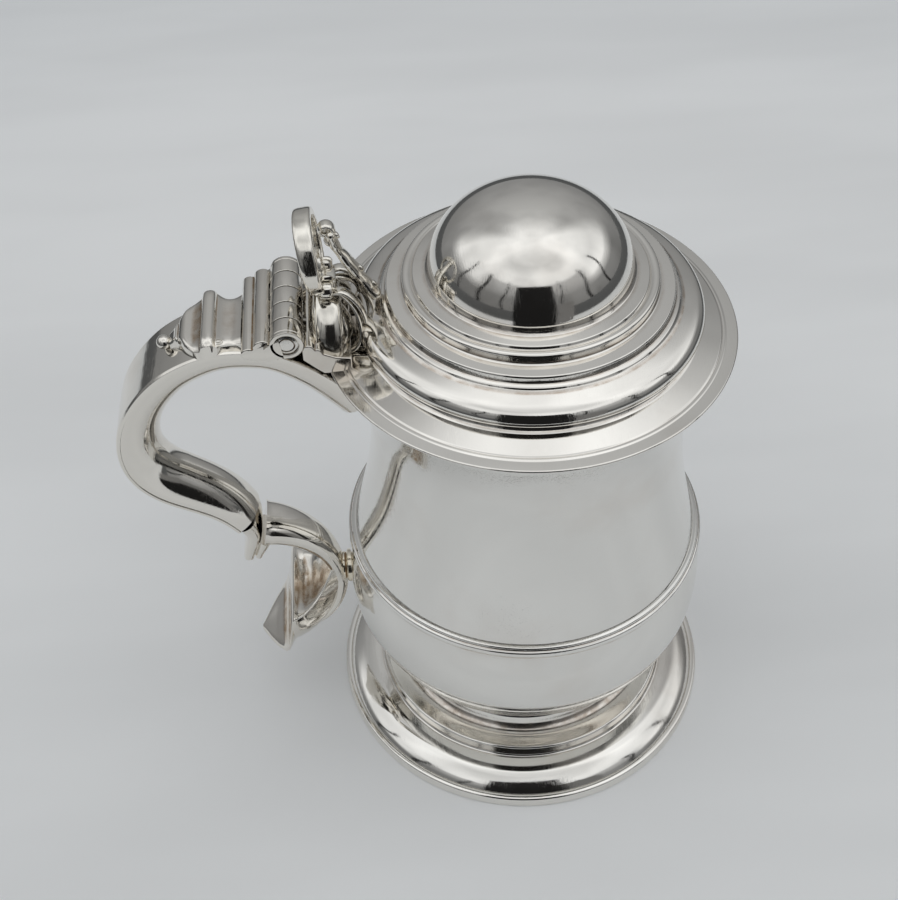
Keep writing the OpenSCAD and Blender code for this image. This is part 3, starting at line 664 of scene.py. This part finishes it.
# ---- thumbpiece ----
# Cast in one mould and chased: an arched base, an upright open ring that the thumb presses, scrolls and
# a leafy brace behind it that runs down on to the lid. Polish never reaches its recesses.
cast_metal = silvery("chased casting", (0.84, 0.81, 0.745), (0.06, 0.045, 0.03), 2.2, 0.075, 1.0)


def limb(path, wide, deep, side, power=0.7, around=32, rounded=True):
    """Skin of an oval section carried along a path in space. Half of it, 'wide', lies along the side
    direction and the other half, 'deep', square to it; both may change along the path. Rounded ends
    shrink as the end of a ball does."""
    path = np.asarray(path, float)
    run = np.gradient(path, axis=0)
    run /= np.linalg.norm(run, axis=1, keepdims=True)
    flank = np.asarray(side, float) - (run @ np.asarray(side, float))[:, None] * run
    flank /= np.linalg.norm(flank, axis=1, keepdims=True)
    up = np.cross(run, flank)
    reach = np.concatenate([[0], np.cumsum(np.linalg.norm(np.diff(path, axis=0), axis=1))])
    share = reach / reach[-1]
    wide = np.interp(share, np.linspace(0, 1, len(np.atleast_1d(wide))), np.atleast_1d(wide))
    deep = np.interp(share, np.linspace(0, 1, len(np.atleast_1d(deep))), np.atleast_1d(deep))
    if rounded:
        near = np.minimum(reach, reach[-1] - reach) / np.maximum(deep, 0.1)
        ball = np.sqrt(1 - (1 - np.clip(near, 0, 1)) ** 2)
        wide, deep = wide * ball, deep * ball
    turn = np.linspace(0, 2 * np.pi, around, endpoint=False)
    grid = (path[:, None] + (wide[:, None] * blunt(np.cos(turn), power))[..., None] * flank[:, None]
            + (deep[:, None] * blunt(np.sin(turn), power))[..., None] * up[:, None])
    return skin(grid)


def coil(centre, start, turns, first_r, last_r, plane, count=60):
    """Points of a flat spiral: the radius runs evenly from first_r to last_r over the turns. The plane is
    given by the two axes that the spiral's cosine and sine follow."""
    angle = np.radians(start) + np.linspace(0, 2 * np.pi * turns, count)
    radius = np.linspace(first_r, last_r, count)
    a, b = (np.asarray(v, float) for v in plane)
    spokes = np.cos(angle)[:, None] * a + np.sin(angle)[:, None] * b
    return np.asarray(centre, float) + radius[:, None] * spokes


arch = fair_line([[-12.2, 160], [-11, 166], [-7.8, 170.6], [-3.6, 173.4], [0, 174.2], [3.6, 173.4],
                  [7.8, 170.6], [11, 166], [12.2, 160]], 0.4)
arch_path = np.stack([0 * arch[:, 0] - 55.6, arch[:, 0], arch[:, 1]], 1)
arch_skin = limb(arch_path, [3.4, 4.2, 4.2, 3.4, 4.2, 4.2, 3.4], [1.6, 2.2, 2.0, 1.4, 2.0, 2.2, 1.6],
                 (1, 0, 0), 1.0, 48, rounded=False)
arch_rims = [limb(arch_path + np.array([dx, 0, 0]), 0.42, 1.75, (1, 0, 0), 0.9, 20) for dx in (-3.3, 3.3)]
shells = []
for side in (-1, 1):
    lip = fair_line([[-56.5, side * 2.2, 174.4], [-52.6, side * 3.2, 175.2], [-49.2, side * 5.2, 173.2],
                     [-47.2, side * 7.6, 168.8], [-47.4, side * 9.2, 163.6], [-49.4, side * 9.6, 160.4],
                     [-52.2, side * 9.2, 159.4]], 0.4)
    shells.append(limb(lip, [0.8, 1.1, 1.3, 1.5, 1.4, 1.2, 0.9], [0.7, 0.6, 0.6, 0.6, 0.6, 0.6, 0.7],
                       (0, 1, 0.2), 0.8, 20))
    cup = fair_line([[-53.4, side * 4.2, 172.4], [-51, side * 6.4, 168.6], [-50.6, side * 7.6, 164],
                     [-52.6, side * 7.6, 160.6]], 0.4)
    shells.append(limb(cup, [1.6, 2.6, 2.8, 1.6], [0.9, 1.1, 1.1, 0.8], (0.4, 1, 0), 0.9, 24))
    loop = fair_line([[-55, side * 4.6, 176], [-51.4, side * 5, 177], [-48, side * 5.6, 174.2],
                      [-45.9, side * 6, 169.8], [-45.6, side * 6.4, 165.2], [-47.2, side * 6.8, 161.4],
                      [-50, side * 7, 159.4]], 0.4)
    shells.append(limb(loop, [1.4, 1.7, 1.8, 1.7, 1.4], 0.65, (0, 1, 0), 0.8, 20))
thumb_base = piece("thumb_arch_and_shells", [arch_skin, *arch_rims, *shells], cast_metal, reach=0.9)
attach(thumb_base, "lid")
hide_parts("thumb_base")

ring_x, ring_z, ring_mid, lean = -58.6, 187, 10.4, np.radians(8)
angle = np.linspace(0, 2 * np.pi, 180, endpoint=False)[:, None]
turn = np.linspace(0, 2 * np.pi, 40, endpoint=False)[None, :]
radial = ring_mid + 1.3 * blunt(np.sin(turn), 0.6)
wide = 2.5 * (0.92 + 0.08 * np.cos(angle)) * blunt(np.cos(turn), 0.45)
up = radial * np.cos(angle)
ring_grid = np.stack([ring_x + wide * np.cos(lean) - up * np.sin(lean), radial * np.sin(angle) + 0 * wide,
                      ring_z + wide * np.sin(lean) + up * np.cos(lean)], -1)
scrolls = [skin(ring_grid, ring=True)]
for side in (-1, 1):
    curl = coil((-55.4, side * 5.2, 178.2), 100, 1.3, 2.9, 0.8, ((0, side, 0), (0, 0, 1)))
    scrolls.append(limb(curl, [2.2, 2.0, 1.6], [0.8, 0.8, 0.6], (1, 0, 0), 0.8, 20))
for k, lift in enumerate((174.9, 176.5, 178.0)):
    bow = np.stack([-56.4 + 0.9 * k + 0 * angle[:60, 0], np.linspace(-4.2 + 0.5 * k, 4.2 - 0.5 * k, 60),
                    lift + 0.5 * np.cos(np.linspace(-1.5, 1.5, 60))], 1)
    scrolls.append(limb(bow, 2.6 - 0.3 * k, 0.75, (1, 0, 0), 0.9, 20))
thumb_ring = piece("thumb_ring_and_scrolls", scrolls, cast_metal, reach=0.9)
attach(thumb_ring, "lid")
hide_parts("thumb_loop")

brace = fair_line([[-53.2, 0, 193.8], [-52.4, 0, 189.8], [-49.6, 0, 184], [-46.6, 0, 178.6],
                   [-43.6, 0, 173.4], [-41.6, 0, 170.2]], 0.4)
share = np.linspace(0, 1, len(brace))
lumps = 1 + 0.10 * np.sin(share * 15) + 0.05 * np.sin(share * 31 + 1)
brace_parts = [limb(brace, 2.0 * lumps + 0.5 * share, 1.35 * lumps[::-1] + 0.3 * share, (0, 1, 0), 0.9, 32)]
for at, size in ((0.12, 1.7), (0.6, 1.9), (0.86, 2.3)):
    root = brace[int(at * (len(brace) - 1))]
    wrap = coil(root, 200, 0.75, 1.9, 1.7, ((0, 1, 0), (0.85, 0, 0.5)), 40)
    brace_parts.append(limb(wrap, 0.55 * size, 0.5, (0.5, 0, -0.85), 0.95, 16))
top_roll = coil((-54.2, 0.4, 193.4), -60, 1.3, 2.1, 0.7, ((1, 0, 0), (0, 0, 1)))
brace_parts.append(limb(top_roll, [1.9, 1.8, 1.4], [0.8, 0.8, 0.6], (0, 1, 0), 0.9, 24))
thumb_brace = piece("thumb_brace_leaf", brace_parts, cast_metal, reach=0.9)
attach(thumb_brace, "lid")
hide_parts("thumb_strut")

# ---- floor, light and camera ----
# Pale floor with painted shade: a painted falloff that makes it darker further out, painted shade of soft
# cloth folds, and painted shade of the dim room far out where only the metal sees it. Over it a pale tent:
# bright above and at the sides, dimmer behind, with soft creases and thin dark seams. Two dark boards stand
# in front.
scene = bpy.context.scene
scene.view_settings.view_transform = "Standard"

floor_mesh = bpy.data.meshes.new("floor")
angle = np.linspace(0, 2 * np.pi, 96, endpoint=False)
floor_mesh.from_pydata(np.stack([6 * np.cos(angle), 6 * np.sin(angle), 0 * angle], 1).tolist(), [],
                       [list(range(96))])
floor = bpy.data.objects.new("floor", floor_mesh)
scene.collection.objects.link(floor)
floor_paint = bpy.data.materials.new("pale floor")
floor_paint.use_nodes = True
tree = floor_paint.node_tree
place = add(tree, "ShaderNodeTexCoord").outputs["Object"]
distance = add(tree, "ShaderNodeVectorMath", [(0, place)], operation="LENGTH").outputs["Value"]
# Painted shade: the floor colour darkens from 0.3 m to 0.8 m out, a painted falloff of the light.
painted_falloff = ramp(tree, distance, 0.3, 0.8)
floor_tone_with_painted_falloff = add(tree, "ShaderNodeMix", data_type="RGBA")
tree.links.new(painted_falloff, floor_tone_with_painted_falloff.inputs["Factor"])
floor_tone_with_painted_falloff.inputs[6].default_value = (0.91, 0.92, 0.925, 1)
floor_tone_with_painted_falloff.inputs[7].default_value = (0.74, 0.765, 0.785, 1)
# Painted shade of soft cloth folds on the flat floor: its colour scaled between 0.95 and 1.03 in broad
# stretched patches.
painted_floor_shade = ramp(tree, noise(tree, place, 5.0, 3.0, 0.5, (0.6, 2.2, 1), (0, 0, 0.3)), 0.3, 0.7, 0.95, 1.03)
# Painted shade of the dim room: for every ray but camera rays, the floor beyond 0.6 to 0.7 m from the middle
# is darkened to 0.15 of its colour.
from_middle = add(tree, "ShaderNodeVectorMath", [(0, place), (1, (0, 0.15, 0))], operation="DISTANCE")
painted_room_shade = ramp(tree, from_middle.outputs["Value"], 0.60, 0.70, 1.0, 0.15)
painted_room_shade = maths(tree, "MAXIMUM", painted_room_shade, add(tree, "ShaderNodeLightPath").outputs["Is Camera Ray"])
# The painted fold shade and the painted room shade together scale the floor colour.
painted_floor_shade = maths(tree, "MULTIPLY", painted_floor_shade, painted_room_shade)
toned = add(tree, "ShaderNodeVectorMath", [(0, floor_tone_with_painted_falloff.outputs[2]), ("Scale", painted_floor_shade)], operation="SCALE")
tree.links.new(toned.outputs[0], tree.nodes["Principled BSDF"].inputs["Base Color"])
tree.nodes["Principled BSDF"].inputs["Roughness"].default_value = 0.8
tree.nodes["Principled BSDF"].inputs["Specular IOR Level"].default_value = 0.2
floor_mesh.materials.append(floor_paint)

world = bpy.data.worlds.new("pale tent")
world.use_nodes = True
scene.world = world
tree = world.node_tree
direction = add(tree, "ShaderNodeTexCoord").outputs["Generated"]
way = add(tree, "ShaderNodeSeparateXYZ", [(0, direction)])
x, y, z = way.outputs
level = maths(tree, "SQRT", maths(tree, "ADD", maths(tree, "MULTIPLY", x, x), maths(tree, "MULTIPLY", y, y)))
toward_back = maths(tree, "DIVIDE", y, maths(tree, "MAXIMUM", level, 0.001))


def panel(stops):
    """Brightness of one side of the tent by height: stops of [sine of the elevation, brightness]."""
    shade = add(tree, "ShaderNodeValToRGB", [(0, z)])
    while len(shade.color_ramp.elements) < len(stops):
        shade.color_ramp.elements.new(0.5)
    for stop, (height, value) in zip(shade.color_ramp.elements, stops):
        stop.position, stop.color = height, (value, value, value, 1)
    return shade.outputs["Color"]


def blend(amount, first, second):
    """The first value carried to the second by the amount."""
    mixed = add(tree, "ShaderNodeMix", data_type="RGBA")
    for socket, source in (("Factor", amount), (6, first), (7, second)):
        tree.links.new(source, mixed.inputs[socket])
    return mixed.outputs[2]


sides = panel([[0, 0.17], [0.24, 0.20], [0.36, 0.52], [0.42, 0.82], [0.62, 0.84], [0.74, 0.98], [0.92, 0.98]])
rear = panel([[0, 0.24], [0.5, 0.31], [0.76, 0.40], [0.86, 0.50], [0.92, 0.68], [0.96, 0.84], [1, 0.96]])
front = panel([[0, 0.18], [0.3, 0.22], [0.42, 0.32], [0.6, 0.42], [0.64, 0.74], [0.78, 0.84], [0.9, 0.72],
               [1, 0.96]])
light = blend(ramp(tree, toward_back, 0.4, 0.72), sides, rear)
light = blend(ramp(tree, toward_back, -0.25, -0.6), light, front)
wave = maths(tree, "MULTIPLY", z, 9.0)
sway = maths(tree, "MULTIPLY", maths(tree, "SINE", wave), 0.035)
bearing = maths(tree, "ADD", maths(tree, "ARCTAN2", x, maths(tree, "MULTIPLY", y, -1.0)), sway)
seams = 1.0
for bearing_degrees, wide in ((-62, 0.035), (-36, 0.02), (27, 0.02), (58, 0.03), (84, 0.022), (-88, 0.022)):
    off = maths(tree, "ABSOLUTE", maths(tree, "SUBTRACT", bearing, np.radians(bearing_degrees)))
    seams = maths(tree, "MULTIPLY", ramp(tree, off, wide * 0.5, wide * 1.6, 0.12, 1.0), seams)
seams = maths(tree, "MAXIMUM", seams, ramp(tree, z, 0.60, 0.68))
creases = noise(tree, direction, 1.7, 3.0, 0.5, (1, 1, 0.6))
seams = maths(tree, "MULTIPLY", ramp(tree, creases, 0.34, 0.66, 0.86, 1.16), seams)
light = add(tree, "ShaderNodeVectorMath", [(0, light)], operation="SCALE")
tree.links.new(seams, light.inputs["Scale"])
light = add(tree, "ShaderNodeSeparateXYZ", [(0, light.outputs[0])])
sky = tree.nodes["Background"]
sky.inputs["Color"].default_value = (0.985, 1.0, 1.01, 1)
tree.links.new(light.outputs[0], sky.inputs["Strength"])
plain = add(tree, "ShaderNodeBackground", [("Color", (0.50, 0.525, 0.545, 1)), ("Strength", 1.0)])
seen = add(tree, "ShaderNodeMixShader", [(0, add(tree, "ShaderNodeLightPath").outputs["Is Camera Ray"]),
                                         (1, sky.outputs[0]), (2, plain.outputs[0])])
tree.links.new(seen.outputs[0], tree.nodes["World Output"].inputs["Surface"])


def dark_board(name, corners, brightness):
    """Plain dark board, seen only in the metal: it throws no shadow and the camera doesn't see it."""
    mesh = bpy.data.meshes.new(name)
    mesh.from_pydata([[0.001 * v for v in corner] for corner in corners], [], [[0, 1, 2, 3]])
    board = bpy.data.objects.new(name, mesh)
    scene.collection.objects.link(board)
    board.visible_camera = board.visible_diffuse = board.visible_shadow = False
    paint = bpy.data.materials.new(name)
    paint.use_nodes = True
    nodes = paint.node_tree.nodes
    nodes.remove(nodes["Principled BSDF"])
    glow = add(paint.node_tree, "ShaderNodeEmission", [("Color", (brightness, brightness, brightness, 1))])
    paint.node_tree.links.new(glow.outputs[0], nodes["Material Output"].inputs["Surface"])
    mesh.materials.append(paint)


dark_board("board_wide", [[-125, -330, 0], [240, -330, 0], [240, -330, 230], [-125, -330, 230]], 0.16)
dark_board("board_tall", [[-140, -320, 0], [105, -320, 0], [105, -320, 425], [-140, -320, 425]], 0.012)

camera_data = bpy.data.cameras.new("camera")
camera = bpy.data.objects.new("camera", camera_data)
scene.collection.objects.link(camera)
scene.camera = camera
camera_data.lens = 56.0
camera_data.shift_x = 0.00167
camera_data.shift_y = 0.00089
pan, tilt, roll = np.radians([-3.4, 46.2, 1.71])
ahead = np.array([-np.sin(pan) * np.cos(tilt), np.cos(pan) * np.cos(tilt), -np.sin(tilt)])
level_right = np.array([np.cos(pan), np.sin(pan), 0])
level_down = np.cross(ahead, level_right)
right = np.cos(roll) * level_right + np.sin(roll) * level_down
down = np.cos(roll) * level_down - np.sin(roll) * level_right
stand = np.array([-0.04154, -0.2956, 0.4161])
camera.matrix_world = Matrix(np.vstack([np.stack([right, -down, -ahead, stand], 1), [0, 0, 0, 1]]).tolist())
